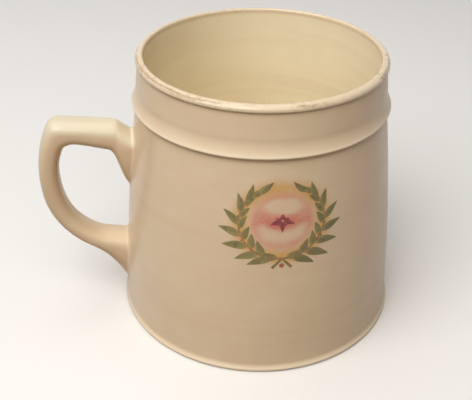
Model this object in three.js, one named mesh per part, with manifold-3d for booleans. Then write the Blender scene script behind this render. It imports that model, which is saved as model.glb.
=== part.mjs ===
// A pottery mug with a rolled lip, a beaded collar, a strap handle and a printed laurel wreath.
// Millimetres, +Z up. The mug stands on z = 0 with its axis upright through x = axisX, y = 0.
// The handle points along -X, and the wreath faces -Y.

import * as THREE from 'three';
import { mergeVertices } from 'three/addons/utils/BufferGeometryUtils.js';
import Module from 'manifold-3d';

const wasm = await Module();
wasm.setup();

// Body
const height = 82.3;
const footRadius = 43;
const footEdgeRound = 0.7;
const footFlareHeight = 2.7;
const footRingWidth = 4.4;
const recessDepth = 1.6;
const recessSlope = 1.2;
const ankleRadius = 42.2;
const shoulderHeight = 67.8;
const shoulderRadius = 36.3;
const wallBow = 0.83;
const wallThickness = 3.2;
const floorThickness = 5;
const floorFillet = 6;

// Collar and lip
const beadRadius = 37.4;
const beadRise = 0.8;
const beadRound = 0.4;
const coveHeight = 4.2;
const neckRadius = 36;
const neckTopRadius = 35.3;
const lipHeight = 2;
const lipRadius = 35.8;
const lipRoll = 1.4;
const lipCrestWidth = 1.8;
const lipThickness = 2.35;
const lipInnerRoll = 0.9;

// Handle: the strap's centre line starts and ends on the wall, at the heights of its two joints
const upperJoint = 57.7;
const lowerJoint = 21.1;
const handleReach = 62.85;
const strapThickness = 6;
const strapWidth = 9.8;
const strapSquareness = 2.5;
const jointWidening = 1.2;
const upperJointThinning = 1.3;
const upperFlare = 14.6;
const upperFlareRun = 5.2;
const upperFlareBluntness = 2.4;
const lowerFlare = 11.9;
const lowerFlareRun = 10.8;

// Slip: the thin clay bed that holds each end of the strap on the wall
const slipThickness = 0.6;
const slipMargin = 1.3;
const jointGap = 0.3;

// Printed wreath
const printThickness = 0.2;
const leafInset = 0.08;
const printGap = 0.3;
const wreathHeight = 49.6;
const wreathHalfWidth = 11.8;
const wreathHalfHeight = 10.7;
const wreathOpening = 30;
const stemWidth = 0.55;
const tailLength = 3.9;
const tailSpread = 48;
const leafPairs = 8;
const leafLength = 7.8;
const leafWidth = 2.6;
const innerLeafLength = 5.4;
const innerLeafWidth = 2.2;
const leafBelly = 0.42;
const leafShrink = 0.32;
const leafLean = 50;
const leanPeak = 0.32;
const berryRadius = 0.75;
const berryDrop = 2.2;
const rosetteHeight = 50.4;
const rosetteRadius = 1.9;
const rosettePetals = 5;
const rosetteNotch = 0.8;
const rosetteLeafLength = 3.5;
const rosetteLeafWidth = 1.6;
const rosetteLeafDroop = 18;

// How finely the round surfaces are cut
const bodySegments = 60;
const wallSteps = 7;
const arcSteps = 4;
const strapRings = 72;
const strapSides = 18;

const DEGREE = Math.PI / 180;

// The mug's axis lies off the middle of the whole length, which runs from the foot to the strap's back.
const axisX = (handleReach + strapThickness / 2 - footRadius) / 2;

// Outer radius of the wall at a height, between the foot's flare and the collar.
function wallRadius(z) {
  const share = (z - footFlareHeight) / (shoulderHeight - footFlareHeight);
  const straight = ankleRadius + (shoulderRadius - ankleRadius) * share;
  return straight + 4 * wallBow * share * (1 - share);
}

// A quarter of an ellipse round a centre, from one angle to another, without its first point.
function quarter(centre, halfWidth, halfHeight, from, to) {
  const points = [];
  for (let i = 1; i <= arcSteps; i++) {
    const angle = (from + (to - from) * i / arcSteps) * DEGREE;
    points.push([centre[0] + halfWidth * Math.cos(angle), centre[1] + halfHeight * Math.sin(angle)]);
  }
  return points;
}

// A hollow curve up from an edge that ends level with the axis, without its first point.
function cove(from, to) {
  const points = [];
  for (let i = 1; i <= arcSteps; i++) {
    const share = i / arcSteps;
    points.push([to[0] + (from[0] - to[0]) * (1 - share) ** 2, from[1] + (to[1] - from[1]) * share]);
  }
  return points;
}

// The outside of the mug as radius and height, from the edge of the foot's flat up to the crest of the lip.
function outerProfile() {
  const beadStart = shoulderHeight + beadRise;
  const coveStart = beadStart + beadRound;
  const coveFoot = beadRadius - beadRound;
  const lipBottom = height - lipHeight;
  const lipEdge = height - lipRoll;
  const points = [[footRadius - footEdgeRound, 0]];
  points.push(...quarter([footRadius - footEdgeRound, footEdgeRound], footEdgeRound, footEdgeRound, -90, 0));
  points.push(...cove([footRadius, footEdgeRound], [ankleRadius, footFlareHeight]));
  for (let i = 1; i <= wallSteps; i++) {
    const z = footFlareHeight + (shoulderHeight - footFlareHeight) * i / wallSteps;
    points.push([wallRadius(z), z]);
  }
  points.push(...quarter([shoulderRadius, beadStart], beadRadius - shoulderRadius, beadRise, -90, 0));
  points.push(...quarter([coveFoot, beadStart], beadRound, beadRound, 0, 90));
  points.push(...cove([coveFoot, coveStart], [neckRadius, coveStart + coveHeight]));
  points.push([neckTopRadius, lipBottom]);
  const lowerRoll = lipRadius - neckTopRadius;
  points.push(...quarter([neckTopRadius, lipEdge], lowerRoll, lipEdge - lipBottom, -90, 0));
  points.push(...quarter([lipRadius - lipCrestWidth, lipEdge], lipCrestWidth, lipRoll, 0, 90));
  return points;
}

// The inside of the mug as radius and height, from the crest of the lip down to the middle of the floor.
function innerProfile() {
  const lipInner = lipRadius - lipThickness;
  const floor = recessDepth + floorThickness;
  const filletTop = floor + floorFillet;
  const innerRoll = lipRadius - lipCrestWidth - lipInner;
  const rollCentre = [lipRadius - lipCrestWidth, height - lipInnerRoll];
  const points = quarter(rollCentre, innerRoll, lipInnerRoll, 90, 180);
  for (let i = wallSteps; i >= 0; i--) {
    const z = filletTop + (shoulderHeight - filletTop) * i / wallSteps;
    points.push([wallRadius(z) - wallThickness, z]);
  }
  const filletCentre = [wallRadius(filletTop) - wallThickness - floorFillet, filletTop];
  points.push(...quarter(filletCentre, floorFillet, floorFillet, 0, -90));
  points.push([0, floor]);
  return points;
}

// A solid turned about the upright axis from a profile that starts and ends on it.
function turned(profile) {
  const points = profile.map(([radius, z]) => new THREE.Vector2(radius, z));
  return new THREE.LatheGeometry(points, bodySegments).rotateX(Math.PI / 2);
}

// The mug's filled outer shape, grown outwards: it cuts off what is fitted to the wall.
function grownBody(growth) {
  const grown = outerProfile().map(([radius, z]) => [radius + growth, z]);
  return turned([[0, 0], ...grown, [0, height]]);
}

function bodyGeometry() {
  const ringInner = footRadius - footEdgeRound - footRingWidth;
  const recess = [[0, recessDepth], [ringInner - recessSlope, recessDepth], [ringInner, 0]];
  return turned([...recess, ...outerProfile(), ...innerProfile()]);
}

// Closed solids for cuts and joins, and back again.
function toSolid(geometry) {
  const plain = geometry.clone();
  plain.deleteAttribute('normal');
  plain.deleteAttribute('uv');
  const merged = mergeVertices(plain, 1e-4);
  return new wasm.Manifold(new wasm.Mesh({
    numProp: 3,
    vertProperties: new Float32Array(merged.attributes.position.array),
    triVerts: new Uint32Array(merged.index.array),
  }));
}

function toGeometry(solid) {
  const mesh = solid.getMesh();
  const geometry = new THREE.BufferGeometry();
  geometry.setAttribute('position', new THREE.BufferAttribute(mesh.vertProperties, 3));
  geometry.setIndex(new THREE.BufferAttribute(mesh.triVerts, 1));
  return geometry;
}

// A closed skin over rings of equally many points, with a fan over each end.
function skinned(rings) {
  const sides = rings[0].length;
  const positions = rings.flat().flatMap((point) => point.toArray());
  const faces = [];
  for (let i = 0; i + 1 < rings.length; i++) {
    for (let j = 0; j < sides; j++) {
      const a = i * sides + j;
      const b = i * sides + (j + 1) % sides;
      faces.push(a, b, b + sides, a, b + sides, a + sides);
    }
  }
  const last = (rings.length - 1) * sides;
  for (let j = 1; j + 1 < sides; j++) {
    faces.push(0, j + 1, j, last, last + j, last + j + 1);
  }
  const geometry = new THREE.BufferGeometry();
  geometry.setAttribute('position', new THREE.Float32BufferAttribute(positions, 3));
  geometry.setIndex(faces);
  return geometry;
}

// The bends of the strap's line, in the upright plane through the mug's axis. Each is a share of the reach
// past the wall, a share of the height between the joints, and how much thicker the strap is on its outside
// there than at its back, as a share of strapThickness.
const strapBends = [
  [0.115, 0.975, 0.34],
  [0.685, 1.06, 0.14],
  [0.82, 1.035, 0.5],
  [0.89, 0.995, 0.16],
  [0.995, 0.765, 0],
  [0.965, 0.46, 0],
  [0.83, 0.235, -0.12],
  [0.525, 0.055, -0.08],
];

function strapLine() {
  const upperRadius = wallRadius(upperJoint);
  const bends = strapBends.map(([out, up]) => new THREE.Vector3(
    -upperRadius - (handleReach - upperRadius) * out,
    0,
    lowerJoint + (upperJoint - lowerJoint) * up,
  ));
  const start = new THREE.Vector3(-upperRadius, 0, upperJoint);
  const end = new THREE.Vector3(-wallRadius(lowerJoint), 0, lowerJoint);
  return new THREE.CatmullRomCurve3([start, ...bends, end], false, 'centripetal');
}

// How much thicker the strap is on its outside than at its back, from joint to joint.
function strapSwell() {
  const swells = strapBends.map(([, , swell]) => swell * strapThickness);
  const points = [-upperJointThinning, ...swells, 0].map((swell, i) => new THREE.Vector2(i, swell));
  return new THREE.SplineCurve(points);
}

// A rounded square's coordinate for the cosine or sine of an angle, from -1 to 1.
function squared(value) {
  return Math.sign(value) * Math.abs(value) ** (2 / strapSquareness);
}

// One rounded oblong section of the strap. It is square to the line along the strap, and turns upright at
// the wall, where it also grows downwards into the flare of the joint.
function strapSection(middle, direction, swell, upperShare, lowerShare) {
  const square = new THREE.Vector3(direction.z, 0, -direction.x);
  square.multiplyScalar(1 - upperShare - lowerShare);
  square.z += upperShare - lowerShare;
  square.normalize();
  const outside = strapThickness / 2 + swell + lowerFlare * lowerShare;
  const inside = strapThickness / 2 + upperFlare * upperShare;
  const centre = middle.clone().addScaledVector(square, (outside - inside) / 2);
  const halfThickness = (outside + inside) / 2;
  const halfWidth = (strapWidth + jointWidening * (upperShare + lowerShare)) / 2;
  const ring = [];
  for (let j = 0; j < strapSides; j++) {
    const angle = 2 * Math.PI * j / strapSides;
    const point = centre.clone().addScaledVector(square, halfThickness * squared(Math.sin(angle)));
    point.y -= halfWidth * squared(Math.cos(angle));
    ring.push(point);
  }
  return ring;
}

// The strap points along -X from the mug's axis. Its first and last rings lie inside the wall.
function strapGeometry() {
  const line = strapLine();
  const swell = strapSwell();
  const length = line.getLength();
  const rings = [];
  for (let i = 0; i <= strapRings; i++) {
    const share = i / strapRings;
    const place = line.getUtoTmapping(share);
    const upperShare = Math.max(0, 1 - (share * length / upperFlareRun) ** upperFlareBluntness);
    const lowerShare = Math.max(0, 1 - (1 - share) * length / lowerFlareRun) ** 2;
    rings.push(strapSection(
      line.getPoint(place),
      line.getTangent(place),
      swell.getPoint(place).y,
      upperShare,
      lowerShare,
    ));
  }
  const buried = (ring) => ring.map((point) => point.clone().setX(point.x + wallThickness / 2));
  rings.unshift(buried(rings[0]));
  rings.push(buried(rings[rings.length - 1]));
  return skinned(rings);
}

function handleGeometry() {
  const cutter = toSolid(grownBody(slipThickness + 2 * jointGap));
  return toGeometry(toSolid(strapGeometry()).subtract(cutter));
}

// An oval plug along the X axis between two heights, wider than the end of the strap by the slip's margin.
function slipPlug(bottom, top) {
  const halfWidth = (strapWidth + jointWidening) / 2 + slipMargin;
  const halfHeight = (top - bottom) / 2 + slipMargin;
  const oval = new THREE.Shape();
  oval.absellipse(0, 0, halfWidth, halfHeight, 0, 2 * Math.PI, false);
  const reach = 2 * footRadius;
  const settings = { depth: reach, bevelEnabled: false, curveSegments: 2 * strapSides };
  const plug = new THREE.ExtrudeGeometry(oval, settings);
  plug.rotateX(Math.PI / 2).rotateZ(-Math.PI / 2);
  return plug.translate(0, 0, (top + bottom) / 2);
}

function slipGeometry(bottom, top) {
  const bed = toSolid(grownBody(jointGap + slipThickness)).subtract(toSolid(grownBody(jointGap)));
  return toGeometry(toSolid(slipPlug(bottom, top)).intersect(bed));
}

// Prints are drawn flat, with x along the wall and y as height, and then laid on the wall facing -Y.
function laidOnWall(flat) {
  const position = flat.attributes.position;
  const spread = wallRadius(wreathHeight);
  for (let i = 0; i < position.count; i++) {
    const angle = position.getX(i) / spread;
    const z = position.getY(i);
    const radius = wallRadius(z) + printGap + position.getZ(i);
    position.setXYZ(i, radius * Math.sin(angle), -radius * Math.cos(angle), z);
  }
  return flat;
}

// A layer of print over an outline, lifted off the lowest layer.
function printed(outline, lift, thickness) {
  const shape = new THREE.Shape(outline);
  const layer = new THREE.ExtrudeGeometry(shape, { depth: thickness, bevelEnabled: false });
  return laidOnWall(layer.translate(0, 0, lift));
}

// A pointed leaf that starts at a place and points along an angle.
function leaf(place, angle, length, width, lift) {
  const base = new THREE.Vector2();
  const tip = new THREE.Vector2(length, 0);
  const belly = length * leafBelly;
  const upper = new THREE.QuadraticBezierCurve(base, new THREE.Vector2(belly, width), tip);
  const lower = new THREE.QuadraticBezierCurve(tip, new THREE.Vector2(belly, -width), base);
  const outline = [...upper.getPoints(arcSteps), ...lower.getPoints(arcSteps).slice(1, -1)];
  const origin = new THREE.Vector2();
  const placed = outline.map((point) => point.clone().rotateAround(origin, angle).add(place));
  return printed(placed, lift + leafInset, printThickness);
}

// A ribbon of even width along points in the flat. It is thicker than a leaf, so leaves run into it.
function ribbon(points, width, lift) {
  const origin = new THREE.Vector2();
  const left = [];
  const right = [];
  points.forEach((point, i) => {
    const before = points[Math.max(0, i - 1)];
    const after = points[Math.min(points.length - 1, i + 1)];
    const across = after.clone().sub(before).normalize().rotateAround(origin, Math.PI / 2);
    left.unshift(point.clone().addScaledVector(across, width / 2));
    right.push(point.clone().addScaledVector(across, -width / 2));
  });
  return printed([...right, ...left], lift, printThickness + 2 * leafInset);
}

// The place on a branch's stem at an angle from the bottom of the wreath, on the side given by its sign.
function stemPoint(side, angle) {
  const x = side * wreathHalfWidth * Math.sin(angle * DEGREE);
  return new THREE.Vector2(x, wreathHeight - wreathHalfHeight * Math.cos(angle * DEGREE));
}

function stemDirection(side, angle) {
  const along = stemPoint(side, angle + 1).sub(stemPoint(side, angle - 1));
  return Math.atan2(along.y, along.x);
}

// How far a leaf leans off its stem at a share of the stem: most at leanPeak, and not at all at the ends.
function leanAt(share) {
  const bias = Math.log(0.5) / Math.log(leanPeak);
  return leafLean * DEGREE * Math.sin(Math.PI * share ** bias);
}

// One leaf at a share of the stem, leaning off it to the outer side, or with -1 to the inner side.
// The leaves get shorter and narrower towards the end of the stem.
function stemLeaf(side, stemEnd, share, outward, length, width, lift) {
  const angle = stemEnd * share;
  const lean = stemDirection(side, angle) - side * outward * leanAt(share);
  const size = 1 - leafShrink * share;
  return leaf(stemPoint(side, angle), lean, length * size, width * size, lift);
}

// One branch: its tail crosses to the other side below, its leaves alternate, and one leaf ends it.
function branch(side, lift) {
  const stemEnd = 180 - wreathOpening;
  const stemSteps = 3 * leafPairs;
  const tailAngle = -tailSpread * DEGREE;
  const tail = new THREE.Vector2(-side * tailLength * Math.cos(tailAngle), tailLength * Math.sin(tailAngle));
  const stem = [stemPoint(side, 0).add(tail)];
  for (let i = 0; i <= stemSteps; i++) {
    stem.push(stemPoint(side, stemEnd * i / stemSteps));
  }
  const pieces = [ribbon(stem, stemWidth, lift)];
  for (let i = 0; i < leafPairs; i++) {
    const inner = (i + 0.3) / leafPairs;
    const outer = (i + 0.65) / leafPairs;
    pieces.push(stemLeaf(side, stemEnd, inner, -1, innerLeafLength, innerLeafWidth, lift));
    if (i < leafPairs - 1) {
      pieces.push(stemLeaf(side, stemEnd, outer, 1, leafLength, leafWidth, lift));
    }
  }
  pieces.push(stemLeaf(side, stemEnd, (stemSteps - 1) / stemSteps, 1, leafLength, leafWidth, lift));
  return pieces;
}

// The left branch lies over the right one where their stems cross.
function wreathGeometry() {
  const pieces = [...branch(1, 0), ...branch(-1, leafInset)];
  return toGeometry(pieces.map(toSolid).reduce((whole, piece) => whole.add(piece)));
}

// A round outline whose radius swells into lobes.
function lobed(x, y, radius, lobes, lobeDepth, steps) {
  const outline = [];
  for (let i = 0; i < steps; i++) {
    const angle = 2 * Math.PI * i / steps;
    const reach = radius - lobeDepth * (1 - Math.cos(lobes * angle)) / 2;
    outline.push(new THREE.Vector2(x + reach * Math.sin(angle), y + reach * Math.cos(angle)));
  }
  return outline.reverse();
}

function berryGeometry() {
  const crossing = wreathHeight - wreathHalfHeight;
  const outline = lobed(0, crossing - berryDrop, berryRadius, 1, 0, 2 * arcSteps);
  return printed(outline, 0, printThickness);
}

// A lobed flower with a small pointed leaf below it and a drooping one on each side.
function rosetteGeometry() {
  const steps = 2 * arcSteps * rosettePetals;
  const outline = lobed(0, rosetteHeight, rosetteRadius, rosettePetals, rosetteNotch, steps);
  const middle = new THREE.Vector2(0, rosetteHeight);
  const pieces = [printed(outline, 0, printThickness + 2 * leafInset)];
  for (const angle of [-rosetteLeafDroop, 180 + rosetteLeafDroop, -90]) {
    pieces.push(leaf(middle, angle * DEGREE, rosetteLeafLength, rosetteLeafWidth, 0));
  }
  return toGeometry(pieces.map(toSolid).reduce((whole, piece) => whole.add(piece)));
}

// Colours of the finish
const glaze = { color: 0xdcc39a, roughness: 0.22, metalness: 0 };
const slipGlaze = { color: 0xe3cda6, roughness: 0.25, metalness: 0 };
const leafGreen = { color: 0x7b7642, roughness: 0.35, metalness: 0 };
const crimson = { color: 0x9b2f3d, roughness: 0.35, metalness: 0 };
const berryPink = { color: 0xc4615c, roughness: 0.35, metalness: 0 };

function named(name, geometry, finish) {
  geometry.computeVertexNormals();
  const mesh = new THREE.Mesh(geometry, new THREE.MeshStandardMaterial(finish));
  mesh.name = name;
  return mesh;
}

const halfStrap = strapThickness / 2;
const group = new THREE.Group();
group.add(named('mug_body', bodyGeometry(), glaze));
group.add(named('handle', handleGeometry(), glaze));
group.add(named(
  'upper_handle_slip',
  slipGeometry(upperJoint - halfStrap - upperFlare, upperJoint + halfStrap - upperJointThinning),
  slipGlaze,
));
group.add(named(
  'lower_handle_slip',
  slipGeometry(lowerJoint - halfStrap - lowerFlare, lowerJoint + halfStrap),
  slipGlaze,
));
group.add(named('laurel_wreath', wreathGeometry(), leafGreen));
group.add(named('rosette', rosetteGeometry(), crimson));
group.add(named('berry', berryGeometry(), berryPink));
group.position.x = axisX;

export default group;
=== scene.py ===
# Looks of a pottery mug with a beaded collar, a rolled lip, a strap handle and a printed laurel wreath.
# Lengths here are millimetres where nothing else is said, and Blender gets metres. The mug's axis is upright
# through x = AXIS_X, y = 0.
import math

import bpy
import numpy as np
from mathutils import Matrix, Vector


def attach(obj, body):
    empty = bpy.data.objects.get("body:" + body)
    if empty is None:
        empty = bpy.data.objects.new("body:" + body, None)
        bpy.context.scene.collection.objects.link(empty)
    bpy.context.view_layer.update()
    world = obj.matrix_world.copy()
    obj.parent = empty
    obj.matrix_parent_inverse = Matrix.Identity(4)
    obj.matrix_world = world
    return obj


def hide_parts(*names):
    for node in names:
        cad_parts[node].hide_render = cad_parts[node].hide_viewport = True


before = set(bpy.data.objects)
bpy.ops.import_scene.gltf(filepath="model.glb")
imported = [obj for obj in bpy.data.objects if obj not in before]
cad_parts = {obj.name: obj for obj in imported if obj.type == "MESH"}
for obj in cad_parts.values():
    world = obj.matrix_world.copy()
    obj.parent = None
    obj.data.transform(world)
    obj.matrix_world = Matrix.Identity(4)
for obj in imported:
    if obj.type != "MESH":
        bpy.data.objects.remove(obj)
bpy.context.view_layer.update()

MM = 0.001
AXIS_X = 11.425

# Camera: its place from the mug's axis and the table, its angles in radians, its lens and, in metres, where
# its view starts.
DISTANCE = 215.8
EYE_HEIGHT = 172.07
AZIMUTH = math.radians(10)
YAW = -0.032
PITCH = 0.576
ROLL = 0.012
LENS = 62.356
SENSOR_WIDTH = 36
CLIP_START = 0.01


def add_camera():
    level_reach = math.cos(PITCH)
    forward = Vector((math.sin(YAW) * level_reach, math.cos(YAW) * level_reach, -math.sin(PITCH)))
    level = Vector((math.cos(YAW), -math.sin(YAW), 0))
    upright = level.cross(forward)
    right = math.cos(ROLL) * level + math.sin(ROLL) * upright
    up = math.cos(ROLL) * upright - math.sin(ROLL) * level
    turn = Matrix.Rotation(-AZIMUTH, 3, "Z")
    place = turn @ Vector((0, -DISTANCE, EYE_HEIGHT)) + Vector((AXIS_X, 0, 0))
    data = bpy.data.cameras.new("camera")
    data.sensor_width = SENSOR_WIDTH
    data.lens = LENS
    data.clip_start = CLIP_START
    camera = bpy.data.objects.new("camera", data)
    bpy.context.scene.collection.objects.link(camera)
    basis = Matrix((turn @ right, turn @ up, turn @ -forward)).transposed()
    camera.matrix_world = Matrix.Translation(place * MM) @ basis.to_4x4()
    bpy.context.scene.camera = camera


add_camera()

# Body
HEIGHT = 82.3
FOOT_RADIUS = 43
FOOT_EDGE_ROUND = 0.7
FOOT_FLARE_HEIGHT = 2.7
FOOT_RING_WIDTH = 4.4
RECESS_DEPTH = 1.6
RECESS_SLOPE = 1.2
ANKLE_RADIUS = 42.2
SHOULDER_HEIGHT = 67.8
SHOULDER_RADIUS = 36.3
WALL_BOW = 0.83
WALL_THICKNESS = 3.2
FLOOR_THICKNESS = 5
FLOOR_FILLET = 6
THROAT_HEIGHT = 58
FOOT_EASE = 0.15

# Collar and lip
BEAD_RADIUS = 37.4
BEAD_RISE = 0.8
BEAD_ROUND = 0.4
COVE_HEIGHT = 4.2
NECK_RADIUS = 36
NECK_TOP_RADIUS = 35.3
LIP_HEIGHT = 2
LIP_RADIUS = 35.8
LIP_ROLL = 1.4
LIP_CREST_WIDTH = 1.8
LIP_THICKNESS = 2.35
LIP_INNER_ROLL = 0.9
LIP_CREASE = 0.25

# Handle. A bend is a share of the reach, a share of the rise between the joints, and the swell of the
# strap's outer side there as a share of its thickness.
UPPER_JOINT = 57.7
LOWER_JOINT = 21.1
HANDLE_REACH = 62.85
STRAP_THICKNESS = 6
STRAP_WIDTH = 9.8
STRAP_SQUARENESS = 2.5
JOINT_WIDENING = 1.2
UPPER_JOINT_THINNING = 1.9
UPPER_FLARE = 12.4
UPPER_FLARE_RUN = 4.9
UPPER_FLARE_BLUNTNESS = 5
LOWER_FLARE = 11.9
LOWER_FLARE_RUN = 10.8
STRAP_BENDS = [
    (0.15, 0.98, 0.31),
    (0.3, 1, 0.38),
    (0.685, 1.06, 0.18),
    (0.82, 1.035, 0.5),
    (0.89, 0.995, 0.16),
    (0.995, 0.765, 0),
    (0.965, 0.46, 0),
    (0.83, 0.235, -0.12),
    (0.525, 0.055, -0.08),
]
STRAP_EASE = 0.9
JOINT_SAG = 0.35
STRAP_BURIED = 2.5
STRAP_INSET = 0.08
FILLET_RISE = 0.9
FILLET_SPREAD = 1.3
FILLET_BURIED = 0.3
UNROLLED_RADIUS = 40

# Waver of the thrown wall, and the rate of its fine lines in radians per millimetre
WAVER_DEPTH = 0.01
LINE_DEPTH = 0.006
LINE_RATE = 2.3
WAVER_FADE = 3

# Fineness of the meshes
SEGMENTS = 256
SPAN_STEPS = 60
STRAP_FINE_RINGS = 600
STRAP_RINGS = 150
STRAP_SIDES = 48
FILLET_STEPS = 10
DISC_SIDES = 40
CROWDING = 1.6


# Outer radius of the wall at a height, between the foot's flare and the collar.
def wall_radius(z):
    share = (z - FOOT_FLARE_HEIGHT) / (SHOULDER_HEIGHT - FOOT_FLARE_HEIGHT)
    straight = ANKLE_RADIUS + (SHOULDER_RADIUS - ANKLE_RADIUS) * share
    return straight + 4 * WALL_BOW * share * (1 - share)


# An arc of an ellipse between two angles in degrees, without its first point.
def quarter(centre, half_width, half_height, start, end, steps=12):
    angles = np.radians(np.linspace(start, end, steps + 1)[1:])
    return [(centre[0] + half_width * math.cos(a), centre[1] + half_height * math.sin(a)) for a in angles]


# A hollow curve up from an edge that ends upright.
def cove(start, end, steps=16):
    points = []
    for share in np.linspace(0, 1, steps + 1)[1:]:
        radius = end[0] + (start[0] - end[0]) * (1 - share) ** 2
        points.append((radius, start[1] + (end[1] - start[1]) * share))
    return points


# Heights above a low one and up to a high one, closer and closer together.
def crowded(low, high, steps):
    share = np.linspace(0, 1, steps + 1)[1:]
    return low + (high - low) * (1 - (1 - share) ** CROWDING)


# Radius of the inside at a height. Above the throat it eases from the wall into the upright lip.
def inner_radius(z):
    lip_inner = LIP_RADIUS - LIP_THICKNESS
    top = HEIGHT - LIP_INNER_ROLL
    throat = wall_radius(THROAT_HEIGHT) - WALL_THICKNESS
    slope = (wall_radius(THROAT_HEIGHT - 1) - wall_radius(THROAT_HEIGHT)) * (top - THROAT_HEIGHT)
    down = (top - z) / (top - THROAT_HEIGHT)
    eased = lip_inner + (throat - lip_inner) * down ** 2 * (3 - 2 * down) - slope * down ** 2 * (1 - down)
    return np.where(z > THROAT_HEIGHT, eased, wall_radius(z) - WALL_THICKNESS)


# Radius and height of the outside, from the foot's edge up to the lip's crest.
def outer_profile():
    bead_start = SHOULDER_HEIGHT + BEAD_RISE
    cove_end = bead_start + BEAD_ROUND + COVE_HEIGHT
    lip_bottom = HEIGHT - LIP_HEIGHT
    lip_edge = HEIGHT - LIP_ROLL
    edge = FOOT_RADIUS - FOOT_EDGE_ROUND
    points = [(edge, 0)]
    points += quarter((edge, FOOT_EDGE_ROUND), FOOT_EDGE_ROUND, FOOT_EDGE_ROUND, -90, 36, 16)
    points += cove(points[-1], (ANKLE_RADIUS, FOOT_FLARE_HEIGHT))
    points += [(wall_radius(z), z) for z in crowded(FOOT_FLARE_HEIGHT, SHOULDER_HEIGHT, 60)]
    points += quarter((SHOULDER_RADIUS, bead_start), BEAD_RADIUS - SHOULDER_RADIUS, BEAD_RISE, -90, 0)
    points += quarter((BEAD_RADIUS - BEAD_ROUND, bead_start), BEAD_ROUND, BEAD_ROUND, 0, 30, 6)
    points += cove(points[-1], (NECK_RADIUS, cove_end), 24)
    points += [(np.interp(z, [cove_end, lip_bottom], [NECK_RADIUS, NECK_TOP_RADIUS]), z)
               for z in crowded(cove_end, lip_bottom - LIP_CREASE, 14)]
    lower_roll = LIP_RADIUS - NECK_TOP_RADIUS
    points += quarter((NECK_TOP_RADIUS, lip_edge), lower_roll, lip_edge - lip_bottom, -75, 0)
    points += quarter((LIP_RADIUS - LIP_CREST_WIDTH, lip_edge), LIP_CREST_WIDTH, LIP_ROLL, 0, 90)
    return points


# Radius and height of the inside, from the lip's crest down to the floor.
def inner_profile():
    lip_inner = LIP_RADIUS - LIP_THICKNESS
    floor = RECESS_DEPTH + FLOOR_THICKNESS
    fillet_top = floor + FLOOR_FILLET
    roll = LIP_RADIUS - LIP_CREST_WIDTH - lip_inner
    points = quarter((LIP_RADIUS - LIP_CREST_WIDTH, HEIGHT - LIP_INNER_ROLL), roll, LIP_INNER_ROLL, 90, 180)
    points += [(inner_radius(z), z) for z in np.linspace(HEIGHT - LIP_INNER_ROLL, fillet_top, 70)[1:]]
    centre = (wall_radius(fillet_top) - WALL_THICKNESS - FLOOR_FILLET, fillet_top)
    points += quarter(centre, FLOOR_FILLET, FLOOR_FILLET, 0, -90, 18)
    points += [(centre[0] * share, floor) for share in (0.8, 0.6, 0.4, 0.2)]
    return points


OUTER = np.array(outer_profile())
OUTER_BY_HEIGHT = OUTER[np.concatenate([[True], np.diff(OUTER[:, 1]) > 1e-6])]


# How far the thrown surface falls short of a true circle.
def waver(angle, z):
    slow = WAVER_DEPTH * (2 + np.sin(2 * angle + 0.9 + z / 60) + np.sin(3 * angle - 1.7 - z / 45))
    lines = LINE_DEPTH * (1 + np.sin(z * LINE_RATE + 0.8 * np.sin(angle + 0.4)))
    return slow + lines


def surface_radius(angle, z):
    return np.interp(z, OUTER_BY_HEIGHT[:, 1], OUTER_BY_HEIGHT[:, 0]) - waver(angle, z)


# A point over the outer wall, from its angle about the mug's axis, its height and its distance off the wall.
def over_wall(angle, z, lift):
    radius = surface_radius(angle, z) + lift
    return np.stack([AXIS_X + radius * np.cos(angle), radius * np.sin(angle), z], -1)


# Faces of a grid of points, row by row. A closed grid joins its last column to its first.
def grid_faces(rows, columns, closed, first=0):
    faces = []
    for i in range(rows - 1):
        for j in range(columns if closed else columns - 1):
            a = first + i * columns + j
            b = first + i * columns + (j + 1) % columns
            faces.append((a, b, b + columns, a + columns))
    return faces


def add_piece(name, points, faces, material, nodes, attributes=None, normals=None):
    mesh = bpy.data.meshes.new(name)
    mesh.from_pydata((np.asarray(points) * MM).tolist(), [], faces)
    mesh.polygons.foreach_set("use_smooth", [True] * len(mesh.polygons))
    for key, values in (attributes or {}).items():
        mesh.attributes.new(key, "FLOAT", "POINT").data.foreach_set("value", np.asarray(values, np.float32))
    if normals is not None:
        mesh.normals_split_custom_set_from_vertices(normals.tolist())
    mesh.materials.append(material)
    mesh.update()
    piece = bpy.data.objects.new(name, mesh)
    bpy.context.scene.collection.objects.link(piece)
    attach(piece, "root")
    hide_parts(*nodes)


# A colour from its red, green and blue as seen, from 0 to 255.
def tone(red, green, blue):
    def linear(value):
        value /= 255
        return value / 12.92 if value <= 0.04045 else ((value + 0.055) / 1.055) ** 2.4

    return (linear(red), linear(green), linear(blue), 1)


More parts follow.
